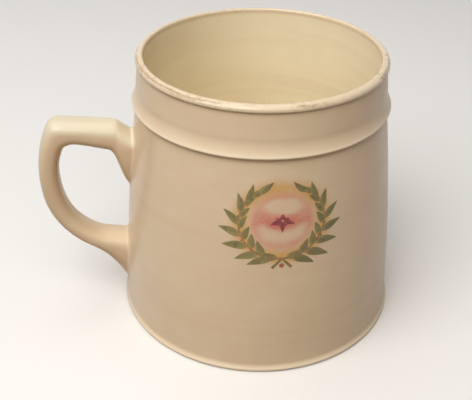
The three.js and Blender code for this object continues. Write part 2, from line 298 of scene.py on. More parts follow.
# Materials: a small builder for node trees, whose values are sockets or plain numbers.
class Finish:
    def __init__(self, name):
        self.material = bpy.data.materials.new(name)
        self.material.use_nodes = True
        self.tree = self.material.node_tree
        self.tree.nodes.clear()
        self.place = self.node("ShaderNodeTexCoord").outputs["Object"]

    def node(self, kind, inputs=None, **settings):
        made = self.tree.nodes.new(kind)
        for key, value in settings.items():
            setattr(made, key, value)
        for key, value in (inputs or {}).items():
            if isinstance(value, bpy.types.NodeSocket):
                self.tree.links.new(value, made.inputs[key])
            else:
                made.inputs[key].default_value = value
        return made

    def calc(self, operation, *values):
        return self.node("ShaderNodeMath", dict(enumerate(values)), operation=operation).outputs[0]

    def product(self, first, *others):
        for value in others:
            first = self.calc("MULTIPLY", first, value)
        return first

    # 0 below the first value and 1 above the second, or the other way about where the first is the larger.
    def step(self, value, start, end):
        inputs = {"Value": value, "From Min": start, "From Max": end}
        return self.node("ShaderNodeMapRange", inputs, interpolation_type="SMOOTHSTEP").outputs[0]

    # 1 at a value, falling to 0 at a distance from it.
    def band(self, value, middle, reach):
        return self.step(self.calc("ABSOLUTE", self.calc("SUBTRACT", value, middle)), reach, 0)

    def noise(self, scale, detail=2, roughness=0.5, stretch=(1, 1, 1)):
        vector = self.node("ShaderNodeMapping", {"Vector": self.place, "Scale": stretch}).outputs[0]
        inputs = {"Vector": vector, "Scale": scale, "Detail": detail, "Roughness": roughness}
        return self.node("ShaderNodeTexNoise", inputs).outputs[0]

    def mixed(self, factor, first, second):
        inputs = {0: factor, 6: first, 7: second}
        return self.node("ShaderNodeMix", inputs, data_type="RGBA").outputs[2]

    def attribute(self, name):
        return self.node("ShaderNodeAttribute", attribute_name=name).outputs["Fac"]

    # A noise's usual span brought to another span.
    def range(self, value, low, high):
        inputs = {"Value": value, "From Min": 0.3, "From Max": 0.7, "To Min": low, "To Max": high}
        return self.node("ShaderNodeMapRange", inputs).outputs[0]

    def bump(self, height, strength, distance, under=None):
        inputs = {"Height": height, "Strength": strength, "Distance": distance * MM}
        if under:
            inputs["Normal"] = under
        return self.node("ShaderNodeBump", inputs).outputs[0]

    def close(self, inputs):
        shader = self.node("ShaderNodeBsdfPrincipled", inputs)
        self.node("ShaderNodeOutputMaterial", {"Surface": shader.outputs[0]})
        return self.material


IVORY = tone(229, 203, 169)
IVORY_DEEP = tone(208, 174, 132)
IVORY_PALE = tone(240, 223, 195)
LINER = tone(249, 237, 206)
LIP_PALE = tone(222, 201, 168)
# The strap's base is painted a little darker than the body's glaze, as painted shade, though it is the same
# glaze.
STRAP_SHADED_IVORY = tone(222, 195, 160)
STRAP_HIGHLIGHT = tone(222, 211, 183)
SLIP_IVORY = tone(226, 201, 168)
BARE_CLAY = tone(214, 196, 168)
CREASE_SHADE_BROWN = tone(164, 122, 76)
WORN_BROWN = tone(148, 106, 64)
SPECK = tone(110, 84, 58)
OCHRE = tone(214, 160, 76)
BLUSH = tone(214, 124, 104)
ROSE = tone(196, 76, 72)


# The glaze shared by the body, the strap and the slips. It returns the colour, so that a piece may add to it.
def glaze_base(finish, base):
    cloud = finish.noise(22, 3, 0.5)
    fine = finish.noise(150, 3, 0.5)
    lines = finish.noise(60, 2, 0.5, (0.3, 0.3, 6))
    colour = finish.mixed(finish.product(finish.step(cloud, 0.35, 0.8), 0.26), base, IVORY_DEEP)
    colour = finish.mixed(finish.product(finish.step(fine, 0.3, 0.9), 0.2), colour, IVORY_PALE)
    return finish.mixed(finish.product(finish.step(lines, 0.4, 0.8), 0.14), colour, IVORY_DEEP)


# Faint hair cracks in the glaze, in places, and a few specks. It returns the colour and the cracks.
def crazed(finish, colour):
    inputs = {"Vector": finish.place, "Scale": 190, "Randomness": 0.9}
    cells = finish.node("ShaderNodeTexVoronoi", inputs, feature="DISTANCE_TO_EDGE").outputs["Distance"]
    where = finish.step(finish.noise(34, 2), 0.5, 0.8)
    crack = finish.product(finish.step(cells, 0.03, 0.0), where)
    colour = finish.mixed(finish.product(crack, 0.1), colour, WORN_BROWN)
    inputs = {"Vector": finish.place, "Scale": 62, "Randomness": 1}
    dots = finish.node("ShaderNodeTexVoronoi", inputs, feature="F1")
    small = finish.step(dots.outputs["Distance"], 0.026, 0.01)
    pick = finish.node("ShaderNodeSeparateColor", {0: dots.outputs["Color"]}).outputs[0]
    chosen = finish.step(pick, 0.94, 0.95)
    return finish.mixed(finish.product(small, chosen, 0.4), colour, SPECK), crack


# The shader of a glaze, with its ripple, grain and cracks. The last three are factors that only the body has.
def close_glaze(finish, colour, crack, rough=None, relief=None, smooth=None):
    ripple = finish.noise(60, 2, 0.5, (1, 1, 2.2))
    grain = finish.noise(700, 2, 0.5)
    normal = finish.bump(ripple, 0.3, 0.22)
    normal = finish.bump(grain, 0.1, 0.02, normal)
    normal = finish.bump(finish.calc("SUBTRACT", 1, crack), 0.1, 0.01, normal)
    if relief:
        normal = finish.bump(relief, 0.5, 0.06, normal)
    roughness = finish.range(finish.noise(110, 3, 0.5), 0.28, 0.39)
    if smooth:
        roughness = finish.calc("SUBTRACT", roughness, finish.product(smooth, 0.16))
    if rough:
        roughness = finish.calc("MAXIMUM", roughness, rough)
    return finish.close({
        "Base Color": colour,
        "Roughness": roughness,
        "Normal": normal,
        "IOR": 1.5,
        "Coat Weight": 0.2,
        "Coat Roughness": 0.12,
        "Coat IOR": 1.5,
        "Specular IOR Level": 0.45,
    })


# Ellipses of the tints: height of the middle, half width and half height
ROSY_DISC = (50, 9.2, 9.2)
UPPER_BARE = (54.5, 5.4, 2.5)
LOWER_BARE = (53.6, 8.6, 8.6)
HEART = (49.6, 6.4, 3.2)


# Soft tints under the wreath: a yellow glow along its stems, and a rosy disc with two bare places and a
# deeper heart in it.
def tinted(finish, colour, outside):
    parts = finish.node("ShaderNodeSeparateXYZ", {0: finish.place}).outputs
    along = finish.calc("SUBTRACT", finish.calc("MULTIPLY", parts[0], 1000), AXIS_X)
    ahead = finish.calc("MULTIPLY", parts[1], -1000)
    wander = finish.calc("MULTIPLY", finish.calc("SUBTRACT", finish.noise(260, 3, 0.6), 0.5), 1.6)
    u = finish.calc("MULTIPLY", finish.calc("ARCTAN2", along, ahead), wall_radius(WREATH_HEIGHT))
    z = finish.calc("ADD", finish.calc("MULTIPLY", parts[2], 1000), wander)
    u = finish.calc("ADD", u, wander)

    def ellipse(height, half_width, half_height):
        across = finish.calc("DIVIDE", u, half_width)
        up = finish.calc("DIVIDE", finish.calc("SUBTRACT", z, height), half_height)
        return finish.calc("SQRT", finish.calc("ADD", finish.product(across, across), finish.product(up, up)))

    dots = finish.step(finish.noise(2600, 1), 0.36, 0.6)
    patchy = finish.range(finish.noise(170, 3, 0.6), 0.6, 1)
    ring = ellipse(WREATH_HEIGHT, WREATH_HALF_WIDTH, WREATH_HALF_HEIGHT)
    glow = finish.product(finish.band(ring, 0.96, 0.36), patchy, finish.range(dots, 0.9, 1.15))
    colour = finish.mixed(finish.product(glow, outside), colour, OCHRE)

    rosy = finish.step(ellipse(*ROSY_DISC), 1.05, 0.78)
    level = finish.calc("ADD", 0.7, finish.product(finish.band(z, HEART[0], 5), 0.3))
    upper = finish.step(ellipse(*UPPER_BARE), 1.3, 0.6)
    scroll = ellipse(*LOWER_BARE)
    lower = finish.product(
        finish.step(finish.calc("ABSOLUTE", finish.calc("SUBTRACT", scroll, 0.93)), 0.34, 0.06),
        finish.step(z, 50.4, 47.8),
        finish.step(finish.calc("ABSOLUTE", u), 8.4, 4.6),
    )
    bare = finish.calc("MAXIMUM", upper, lower)
    patches = finish.range(finish.noise(200, 3, 0.6), 0.8, 1)
    clear = finish.calc("SUBTRACT", 1, finish.product(bare, 0.85))
    blush = finish.product(rosy, level, clear, patches, finish.range(dots, 0.8, 1))
    colour = finish.mixed(finish.product(blush, outside, 0.95), colour, BLUSH)
    heart = finish.product(finish.step(ellipse(*HEART), 1.1, 0.1), patches, outside)
    return finish.mixed(finish.product(heart, 0.55), colour, ROSE)


# The body's glaze, from how each point is marked: inside, paler partly as painted light, its way from the
# lip's crest, hollow or round, with partly painted shade and light, on the foot's bare ring, in a crease,
# with painted shade, sloping to look up, with painted light, and how worn the lip is at its bearing.
def body_glaze():
    finish = Finish("ivory_glaze")
    marks = ("inside", "crest", "curve", "foot", "crease", "tilt", "wear")
    inside, crest, curve, foot, crease, tilt, wear = (finish.attribute(mark) for mark in marks)
    # The inside is painted paler than the outside: partly its own liner glaze, partly painted light for the
    # brightly lit inside.
    base = finish.mixed(inside, IVORY, LINER)
    colour = glaze_base(finish, base)
    # Hollows deeper and rounds paler: partly glaze that pools in hollows and runs thin on rounds, partly
    # painted shade in the hollows and painted light on the rounds.
    colour = finish.mixed(finish.product(finish.step(curve, -0.1, -1), 0.35), colour, IVORY_DEEP)
    colour = finish.mixed(finish.product(finish.step(curve, 0.1, 1), 0.5), colour, IVORY_PALE)
    # Painted light: faces that slope to look up, such as the foot's flare and the bead's cove, are painted
    # paler.
    colour = finish.mixed(finish.product(finish.step(tilt, 0.1, 0.8), 0.6), colour, IVORY_PALE)
    colour = tinted(finish, colour, finish.calc("SUBTRACT", 1, inside))
    colour, crack = crazed(finish, colour)
    ragged = finish.noise(380, 3, 0.7)
    sway = finish.product(finish.calc("SUBTRACT", finish.noise(45, 2), 0.5), 1.5)
    fray = finish.product(finish.calc("SUBTRACT", ragged, 0.5), 1.1)
    off = finish.calc("ADD", crest, finish.calc("ADD", sway, fray))
    lip = finish.product(finish.step(crest, 3.1, 2.5), finish.step(crest, -1.6, -1.0))
    colour = finish.mixed(finish.product(lip, 0.75), colour, LIP_PALE)
    level = finish.calc("ADD", 0.14, finish.product(wear, 0.4))
    mottle = finish.product(lip, finish.step(finish.noise(520, 3, 0.7), 0.48, 0.72), level)
    colour = finish.mixed(mottle, colour, WORN_BROWN)
    place = finish.calc("ADD", finish.noise(70, 3, 0.6), finish.product(wear, 0.4))
    worn = finish.product(finish.band(off, 1.35, 0.55), finish.step(place, 0.66, 0.8))
    worn = finish.product(worn, finish.range(finish.noise(800, 2), 0.45, 1), 0.75)
    colour = finish.mixed(worn, colour, WORN_BROWN)
    # Painted shade: a brown band just under the lip and under the bead, where those ledges shade the wall.
    crease_shade = finish.product(crease, finish.range(finish.noise(90, 3, 0.6), 0.7, 1), 0.85)
    colour = finish.mixed(crease_shade, colour, CREASE_SHADE_BROWN)
    colour = finish.mixed(foot, colour, BARE_CLAY)
    relief = finish.product(lip, ragged)
    return close_glaze(finish, colour, crack, finish.product(foot, 0.8), relief, lip)


# The glaze of the strap and the slips, with painted shade on the faces that look down and painted light on
# those that look up, most of all on the bar at the top.
def strap_glaze(name, base):
    finish = Finish(name)
    colour = glaze_base(finish, base)
    upward = finish.attribute("upward")
    metres = finish.node("ShaderNodeSeparateXYZ", {0: finish.place}).outputs[2]
    height = finish.calc("MULTIPLY", metres, 1000)
    # Painted light on faces that look up, strongest on the bar at the top, and painted shade on faces that
    # look down.
    high = finish.calc("ADD", 0.25, finish.product(finish.step(height, 28, 48), 0.6))
    colour = finish.mixed(finish.product(finish.step(upward, 0.05, 0.45), high), colour, STRAP_HIGHLIGHT)
    colour = finish.mixed(finish.step(upward, 0.1, -0.35), colour, IVORY_DEEP)
    colour, crack = crazed(finish, colour)
    return close_glaze(finish, colour, crack)


# Where the lip is worn: bearing and reach round the mug's axis, in degrees, and amount.
LIP_WEAR = [(206, 38, 1), (-24, 17, 1.1), (-80, 8, 0.6), (95, 12, 0.5)]

# The other marks of the body's points. The curve's blur and its reach are counted in steps.
CREASE_FADE = 1.7
CREASE_RISE = 0.4
CREASE_LEVELS = (HEIGHT - LIP_HEIGHT + 0.2, SHOULDER_HEIGHT + 0.3)
LINER_START = 0.9
LINER_BLEND = 1.2
LIT_SLOPE_START = 4
CURVE_STEP = 0.1
CURVE_BLUR = 8
CURVE_REACH = 30
CURVE_GAIN = 1.4


# The body: one closed turned surface, from the middle of the underside round the lip to the middle of the
# floor. Its crest value is the way along the profile from the lip's crest, and is positive outside.
def add_body():
    ring_inner = FOOT_RADIUS - FOOT_EDGE_ROUND - FOOT_RING_WIDTH
    recess = [(ring_inner - RECESS_SLOPE) * share for share in (0.25, 0.5, 0.75, 0.97)]
    under = [(radius, RECESS_DEPTH) for radius in recess]
    under += [(ring_inner - RECESS_SLOPE * 0.8, RECESS_DEPTH * 0.9)]
    under += [(ring_inner - FOOT_EASE, FOOT_EASE), (ring_inner + FOOT_EASE, 0)]
    inner = inner_profile()
    profile = np.array(under + [tuple(p) for p in OUTER] + inner)
    crest_index = len(under) + len(OUTER) - 1
    run = np.concatenate([[0], np.cumsum(np.hypot(*np.diff(profile, axis=0).T))])
    crest = run[crest_index] - run
    inside = np.clip(-(crest + LINER_START) / LINER_BLEND, 0, 1)
    foot = (np.arange(len(profile)) >= len(under) - 1) & (profile[:, 1] < 0.02) & (crest > 0)
    # The crease marks bands of painted shade, just under the lip and under the bead.
    crease = np.zeros(len(profile))
    for level in CREASE_LEVELS:
        below = np.clip(1 - (level - profile[:, 1]) / CREASE_FADE, 0, 1) ** 2
        above = np.clip(1 - (profile[:, 1] - level) / CREASE_RISE, 0, 1)
        crease = np.maximum(crease, np.minimum(below, above) * (crest > 0))

    fine = np.arange(0, run[-1], CURVE_STEP)
    across, up = (np.gradient(np.interp(fine, run, profile[:, k])) for k in (0, 1))
    heading = np.unwrap(np.arctan2(up, across))
    kernel = np.exp(-0.5 * (np.arange(-CURVE_REACH, CURVE_REACH + 1) / CURVE_BLUR) ** 2)
    bend = np.convolve(np.gradient(heading, fine), kernel / kernel.sum(), "same")
    curve = np.clip(np.interp(run, fine, bend) * CURVE_GAIN, -1, 1)

    # How far each point's face looks up, for the painted light on faces that slope upwards.
    slant = np.gradient(profile, axis=0)
    tilt = np.clip(-slant[:, 0] / np.maximum(np.hypot(*slant.T), 1e-9), 0, 1) * (crest > LIT_SLOPE_START)

    angles = np.arange(SEGMENTS) * 2 * math.pi / SEGMENTS
    radius, height = profile[:, :1], profile[:, 1:]
    is_outer = (crest >= 0) & (height[:, 0] > 0)
    short = np.where(is_outer[:, None], waver(angles[None], height), 0)
    fade = np.clip(crest / WAVER_FADE, 0, 1)[:, None]
    radii = radius - short * fade
    points = np.stack([
        AXIS_X + radii * np.cos(angles), radii * np.sin(angles), np.broadcast_to(height, radii.shape),
    ], -1).reshape(-1, 3)
    faces = grid_faces(len(profile), SEGMENTS, True)
    last = (len(profile) - 1) * SEGMENTS
    low, high = len(points), len(points) + 1
    points = np.vstack([points, [AXIS_X, 0, RECESS_DEPTH], [AXIS_X, 0, profile[-1, 1]]])
    for j in range(SEGMENTS):
        k = (j + 1) % SEGMENTS
        faces.append((low, k, j))
        faces.append((high, last + j, last + k))

    wear = np.zeros(SEGMENTS)
    for bearing, reach, amount in LIP_WEAR:
        away = (np.degrees(angles) - bearing + 180) % 360 - 180
        wear = np.maximum(wear, amount * np.exp(-((away / reach) ** 4)))

    def spread(values, below, above):
        return np.concatenate([np.repeat(values, SEGMENTS), [below, above]])

    attributes = {
        "inside": spread(inside, 0, 1),
        "crest": spread(crest, 99, -99),
        "curve": spread(curve, 0, 0),
        "foot": spread(foot.astype(float), 0, 0),
        "crease": spread(crease, 0, 0),
        "tilt": spread(tilt, 0, 0),
        "wear": np.concatenate([np.tile(wear, len(profile)), [0, 0]]),
    }
    add_piece("glazed_body", points, faces, body_glaze(), ["mug_body"], attributes)


# The strap's centre line by centripetal Catmull-Rom spans, as radius outwards and height, evenly spaced, with
# the way along it and the swell at each point.
def strap_line(steps):
    upper = wall_radius(UPPER_JOINT)
    points = [(upper, UPPER_JOINT)]
    for out, rise, _ in STRAP_BENDS:
        radius = upper + (HANDLE_REACH - upper) * out
        points.append((radius, LOWER_JOINT + (UPPER_JOINT - LOWER_JOINT) * rise))
    points.append((wall_radius(LOWER_JOINT), LOWER_JOINT))
    p = np.array(points, float)
    p = np.vstack([2 * p[0] - p[1], p, 2 * p[-1] - p[-2]])
    swells = [swell * STRAP_THICKNESS for _, _, swell in STRAP_BENDS]
    swells = np.array([-UPPER_JOINT_THINNING, -UPPER_JOINT_THINNING, *swells, 0, 0])
    line, swell = [], []
    for i in range(1, len(p) - 2):
        a, b, c, d = p[i - 1:i + 3]
        before, here, after = [np.linalg.norm(v) ** 0.5 for v in (b - a, c - b, d - c)]
        leave = ((b - a) / before - (c - a) / (before + here) + (c - b) / here) * here
        arrive = ((c - b) / here - (d - b) / (here + after) + (d - c) / after) * here
        w = np.linspace(0, 1, SPAN_STEPS + 1)[:-1, None]
        cubic = 2 * b - 2 * c + leave + arrive
        square = -3 * b + 3 * c - 2 * leave - arrive
        line.append(b + leave * w + square * w ** 2 + cubic * w ** 3)
        first, second, third, fourth = swells[i - 1:i + 3]
        leave, arrive = (third - first) / 2, (fourth - second) / 2
        cubic = 2 * second - 2 * third + leave + arrive
        square = -3 * second + 3 * third - 2 * leave - arrive
        swell.append((second + leave * w + square * w ** 2 + cubic * w ** 3)[:, 0])
    line = np.vstack(line + [p[-2:-1]])
    swell = np.concatenate(swell + [[0]])
    run = np.concatenate([[0], np.cumsum(np.hypot(*np.diff(line, axis=0).T))])
    even = np.linspace(0, run[-1], steps + 1)
    line = np.stack([np.interp(even, run, line[:, k]) for k in (0, 1)], -1)
    return line, even, np.interp(even, run, swell)


# A line with its sharp turns eased. Its ends keep their places.
def eased(line, run):
    step = run[1] - run[0]
    reach = int(3 * STRAP_EASE / step)
    kernel = np.exp(-0.5 * (np.arange(-reach, reach + 1) * step / STRAP_EASE) ** 2)
    kernel /= kernel.sum()
    before = 2 * line[0] - line[reach:0:-1]
    after = 2 * line[-1] - line[-2:-reach - 2:-1]
    padded = np.vstack([before, line, after])
    return np.stack([np.convolve(padded[:, k], kernel, "valid") for k in (0, 1)], -1)


# A sine or cosine of a round section turned into that of a squarer one.
def squared(value):
    return np.sign(value) * np.abs(value) ** (2 / STRAP_SQUARENESS)


# Rings of the whole strap, as distance out from the mug's axis, sideways and height. Its ends are in the
# wall. The bar's rounded top runs on over each flare, and its widest line sinks by a share to the flare's
# middle.
def strap_rings(steps):
    line, run, swell = strap_line(steps)
    ahead = np.gradient(line, axis=0)
    ahead /= np.linalg.norm(ahead, axis=1)[:, None]
    upper = np.clip(1 - (run / UPPER_FLARE_RUN) ** UPPER_FLARE_BLUNTNESS, 0, 1)
    lower = np.clip(1 - (run[-1] - run) / LOWER_FLARE_RUN, 0, 1) ** 2
    square = np.stack([-ahead[:, 1], ahead[:, 0]], -1) * (1 - upper - lower)[:, None]
    square[:, 1] += upper - lower
    square /= np.linalg.norm(square, axis=1)[:, None]
    outside = line + square * (STRAP_THICKNESS / 2 - STRAP_INSET + swell + LOWER_FLARE * lower)[:, None]
    inside = line - square * (STRAP_THICKNESS / 2 + UPPER_FLARE * upper)[:, None]
    outside, inside = eased(outside, run), eased(inside, run)
    middle = eased(line, run)
    centre = middle + ((outside + inside) / 2 - middle) * JOINT_SAG
    width = (STRAP_WIDTH + JOINT_WIDENING * (upper + lower)) / 2
    angle = 2 * math.pi * np.arange(STRAP_SIDES) / STRAP_SIDES
    sine, cosine = squared(np.sin(angle)), squared(np.cos(angle))
    above, below = (outside - centre)[:, None], (centre - inside)[:, None]
    reach = np.where(sine[None, :, None] > 0, above, below)
    flat = centre[:, None] + reach * sine[None, :, None]
    side = -width[:, None] * cosine
    rings = np.stack([flat[:, :, 0], side, flat[:, :, 1]], -1)
    first, last = rings[:1].copy(), rings[-1:].copy()
    first[:, :, 0] -= STRAP_BURIED
    last[:, :, 0] -= STRAP_BURIED
    return np.concatenate([first, rings, last])


# Distance off the wall of points given as out, sideways and height.
def off_wall(points):
    angle = np.arctan2(points[..., 1], -points[..., 0])
    return np.hypot(points[..., 0], points[..., 1]) - surface_radius(angle, points[..., 2])


# The outline where the strap stands at one height off the wall: one point on each of its long lines.
def outline_at(rings, height):
    found = []
    for j in range(rings.shape[1]):
        line = rings[:, j]
        off = off_wall(line)
        i = int(np.argmax(off > height))
        share = (height - off[i - 1]) / (off[i] - off[i - 1])
        found.append((i - 1 + share, line[i - 1] + (line[i] - line[i - 1]) * share))
    return np.array([f[0] for f in found]), np.array([f[1] for f in found])


# Rings that lead a strap's end into the wall through a hollow fillet, from the top of the fillet down.
def fillet(rings):
    made = []
    half_turn = math.pi * UNROLLED_RADIUS
    levels = [FILLET_RISE * (1 - math.sin(a)) for a in np.linspace(0, math.pi / 2, FILLET_STEPS + 1)]
    for height in levels:
        outline = outline_at(rings, height)[1]
        around = np.arctan2(outline[:, 1], -outline[:, 0])
        unrolled = (math.pi - around) * UNROLLED_RADIUS
        unrolled = np.where(unrolled > half_turn, unrolled - 2 * half_turn, unrolled)
        flat = np.stack([unrolled, outline[:, 2]], -1)
        along = np.roll(flat, -1, 0) - np.roll(flat, 1, 0)
        along /= np.linalg.norm(along, axis=1)[:, None]
        outward = np.stack([along[:, 1], -along[:, 0]], -1)
        if ((flat - flat.mean(0)) * outward).sum() < 0:
            outward = -outward
        q = 1 - height / FILLET_RISE
        spread = FILLET_SPREAD * (1 - math.sqrt(max(0, 1 - q * q)))
        flat = flat + outward * spread
        angle = math.pi - flat[:, 0] / UNROLLED_RADIUS
        made.append(over_wall(angle, flat[:, 1], height))
    made.append(over_wall(angle, flat[:, 1], -FILLET_BURIED))
    return np.array(made)


# Unit normals of a closed grid of points.
def grid_normals(grid):
    across = np.roll(grid, -1, 1) - np.roll(grid, 1, 1)
    along = np.gradient(grid, axis=0)
    normals = np.cross(across, along)
    return normals / np.maximum(np.linalg.norm(normals, axis=2), 1e-9)[:, :, None]


# The strap stands between its two fillets, and the slips are the fillets. All share one run of normals.
def add_handle():
    rings = strap_rings(STRAP_FINE_RINGS)
    start, _ = outline_at(rings, FILLET_RISE)
    end, _ = outline_at(rings[::-1], FILLET_RISE)
    end = len(rings) - 1 - end
    count = np.arange(len(rings))
    body = []
    for share in np.linspace(0, 1, STRAP_RINGS + 1):
        at = start + (end - start) * share
        ring = [[np.interp(at[j], count, rings[:, j, k]) for k in range(3)] for j in range(STRAP_SIDES)]
        body.append(ring)
    body = np.array(body)
    body = np.stack([AXIS_X - body[:, :, 0], body[:, :, 1], body[:, :, 2]], -1)
    upper = fillet(rings)
    lower = fillet(rings[::-1])
    whole = np.concatenate([upper[:0:-1], body, lower[1:]])
    normals = grid_normals(whole)
    centre = whole.mean(1, keepdims=True)
    if ((whole - centre) * normals).sum() < 0:
        normals = -normals
    top = len(upper) - 1
    bottom = top + len(body) - 1
    plain = strap_glaze("strap_glaze", STRAP_SHADED_IVORY)
    pale = strap_glaze("slip_glaze", SLIP_IVORY)
    parts = [
        ("strap_handle", top, bottom, plain, "glaze", "handle"),
        ("upper_slip", 0, top, pale, "slip_glaze", "upper_handle_slip"),
        ("lower_slip", bottom, len(whole) - 1, pale, "slip_glaze", "lower_handle_slip"),
    ]
    for name, low, high, material, slot, node in parts:
        part = whole[low:high + 1]
        faces = grid_faces(len(part), STRAP_SIDES, True)
        shading = normals[low:high + 1].reshape(-1, 3)
        marks = {"upward": shading[:, 2]}
        add_piece(name, part.reshape(-1, 3), faces, material, [node], marks, shading)


# Printed wreath, with angles in degrees. The lifts off the wall keep overlapping shapes apart.
WREATH_HEIGHT = 49.6
WREATH_HALF_WIDTH = 11.8
WREATH_HALF_HEIGHT = 10.7
WREATH_OPENING = 30
TAIL_LENGTH = 3.9
TAIL_SPREAD = 48
TAIL_WIDTH = 0.9
STEM_WIDTH = 0.6
STEM_TIP_WIDTH = 0.32
LEAF_PAIRS = 8
LEAF_LENGTH = 7.8
LEAF_WIDTH = 2.7
INNER_LEAF_LENGTH = 5.4
INNER_LEAF_WIDTH = 2.4
LEAF_SHRINK = 0.32
LEAF_LEAN = 50
LEAN_PEAK = 0.32
LEAF_BEND = 0.3
BUD_RADIUS = 0.3
BUD_AHEAD = 6
BUD_SPREAD = 40
BUD_STANDOFF = 1.3
BERRY_HEIGHT = 36.7
BERRY_RADIUS = 0.75
ROSETTE_HEIGHT = 50.4
ROSETTE_RADIUS = 1.9
ROSETTE_NOTCH = 0.8
ROSETTE_PETALS = 5
ROSETTE_LEAF_LENGTH = 3.5
ROSETTE_LEAF_WIDTH = 1.4
ROSETTE_LEAF_DROOP = 18
LAYER_STEP = 0.004
LEAF_LIFT = 0.015
LEAF_RELIEF = 0.025
STEM_LIFT = 0.03
STEM_RELIEF = 0.03
BUD_RELIEF = 0.06
ROSETTE_RELIEF = 0.08
BERRY_RELIEF = 0.04
DISC_LIFT = 0.005


# Points of the flat design, as way round the wall from its front and height, laid on the wall.
def on_wall(flat, lift):
    angle = flat[..., 0] / wall_radius(WREATH_HEIGHT) - math.pi / 2
    return over_wall(angle, flat[..., 1], lift)


# A point of a stem, from its angle up from the stems' crossing. The side is 1 or -1.
def stem_point(side, degrees):
    angle = np.radians(degrees)
    x = side * WREATH_HALF_WIDTH * np.sin(angle)
    return np.stack([x, WREATH_HEIGHT - WREATH_HALF_HEIGHT * np.cos(angle)], -1)


def stem_direction(side, degrees):
    ahead = stem_point(side, degrees + 1) - stem_point(side, degrees - 1)
    return math.atan2(ahead[1], ahead[0])


# Thin printed shapes gathered into one mesh, with what its material needs at each point.
class Film:
    def __init__(self):
        self.points = []
        self.faces = []
        self.along = []
        self.across = []
        self.shade = []
        self.count = 0

    def add(self, flat, lift, along, across, shade, closed=False):
        rows, columns = flat.shape[:2]
        self.faces += grid_faces(rows, columns, closed, self.count)
        self.points.append(on_wall(flat, lift).reshape(-1, 3))
        self.along.append(np.broadcast_to(along, (rows, columns)).ravel())
        self.across.append(np.broadcast_to(across, (rows, columns)).ravel())
        self.shade.append(np.full(rows * columns, shade))
        self.count += rows * columns

    def finish(self, name, material, slot, node):
        attributes = {key: np.concatenate(getattr(self, key)) for key in ("along", "across", "shade")}
        add_piece(name, np.vstack(self.points), self.faces, material, [node], attributes)


# A pointed leaf from its place, in a direction in radians. Its level is how far up the overlaps it lies.
def add_leaf(film, place, angle, length, width, bend, level, shade):
    t = np.linspace(0, 1, 19)
    s = np.linspace(-1, 1, 9)
    outline = np.sin(np.pi * t ** 0.8) ** 0.85 * (1 - 0.25 * t)
    half = width / 2 * np.maximum(outline / outline.max(), 0.02)
    x = length * t[:, None] + 0 * s
    y = bend * np.sin(np.pi * t)[:, None] + half[:, None] * s
    cosine, sine = math.cos(angle), math.sin(angle)
    flat = np.stack([x * cosine - y * sine, x * sine + y * cosine], -1)
    rim = 1 - np.maximum(np.abs(s)[None], np.abs(2 * t - 1)[:, None]) ** 10
    lift = LEAF_LIFT + LAYER_STEP * level + LEAF_RELIEF * rim
    film.add(flat + place, lift, t[:, None], s[None], shade)


# A stem along a line, of a width at each of its points.
def add_ribbon(film, points, width, level, shade):
    ahead = np.gradient(points, axis=0)
    ahead /= np.linalg.norm(ahead, axis=1)[:, None]
    across = np.stack([-ahead[:, 1], ahead[:, 0]], -1)
    s = np.linspace(-1, 1, 5)
    width = np.asarray(width) * np.ones(len(points))
    flat = points[:, None] + across[:, None] * (s[None] * width[:, None] / 2)[:, :, None]
    lift = STEM_LIFT + LAYER_STEP * level + STEM_RELIEF * (1 - s ** 2)[None] * np.ones((len(points), 1))
    film.add(flat, lift, np.linspace(0, 1, len(points))[:, None], s[None], shade)


def add_wreath():
    chance = np.random.default_rng(7)
    leaves, stems, buds = Film(), Film(), Film()
    stem_end = 180 - WREATH_OPENING
    bias = math.log(0.5) / math.log(LEAN_PEAK)
    for side in (1, -1):
        tail_angle = -math.radians(TAIL_SPREAD)
        tail = np.array([-side * math.cos(tail_angle), math.sin(tail_angle)]) * TAIL_LENGTH
        start = stem_point(side, 0.0)
        sweep = stem_point(side, np.linspace(0, stem_end, 60))
        lead = start + tail * np.linspace(1, 0, 9)[:-1, None]
        tail_widths = np.linspace(TAIL_WIDTH, STEM_WIDTH, 8)
        width = np.concatenate([tail_widths, np.linspace(STEM_WIDTH, STEM_TIP_WIDTH, 60)])
        add_ribbon(stems, np.vstack([lead, sweep]), width, 3 if side < 0 else 1, 0.5)
        dark = 0.65 if side > 0 else 0.35
        places = [((i + 0.3) / LEAF_PAIRS, -1) for i in range(LEAF_PAIRS)]
        places += [((i + 0.65) / LEAF_PAIRS, 1) for i in range(LEAF_PAIRS - 1)] + [(0.96, 1)]
        for level, (share, outward) in enumerate(sorted(places)):
            length = LEAF_LENGTH if outward > 0 else INNER_LEAF_LENGTH
            width = LEAF_WIDTH if outward > 0 else INNER_LEAF_WIDTH
            lean = LEAF_LEAN * math.sin(math.pi * share ** bias) + chance.uniform(-4, 4) * (share < 0.9)
            angle = stem_direction(side, stem_end * share) - side * outward * math.radians(lean)
            size = (1 - LEAF_SHRINK * share) * chance.uniform(0.93, 1.03)
            bend = side * outward * LEAF_BEND * chance.uniform(0.4, 1.3)
            shade = dark + chance.uniform(-0.25, 0.25)
            place = stem_point(side, stem_end * share)
            add_leaf(leaves, place, angle, length * size, width * size, bend, level, shade)
            if share < 0.6 and chance.random() < 0.6:
                away = angle + side * outward * math.radians(BUD_SPREAD)
                root = stem_point(side, stem_end * share + BUD_AHEAD)
                spot = root + BUD_STANDOFF * np.array([math.cos(away), math.sin(away)])
                add_disc(buds, spot, BUD_RADIUS, BUD_RELIEF, shade)
    leaves.finish("wreath_leaves", leaf_print(), "leaf_print", "laurel_wreath")
    stems.finish("wreath_stems", stem_print(), "leaf_print", "laurel_wreath")
    buds.finish("wreath_buds", bud_print(), "leaf_print", "laurel_wreath")


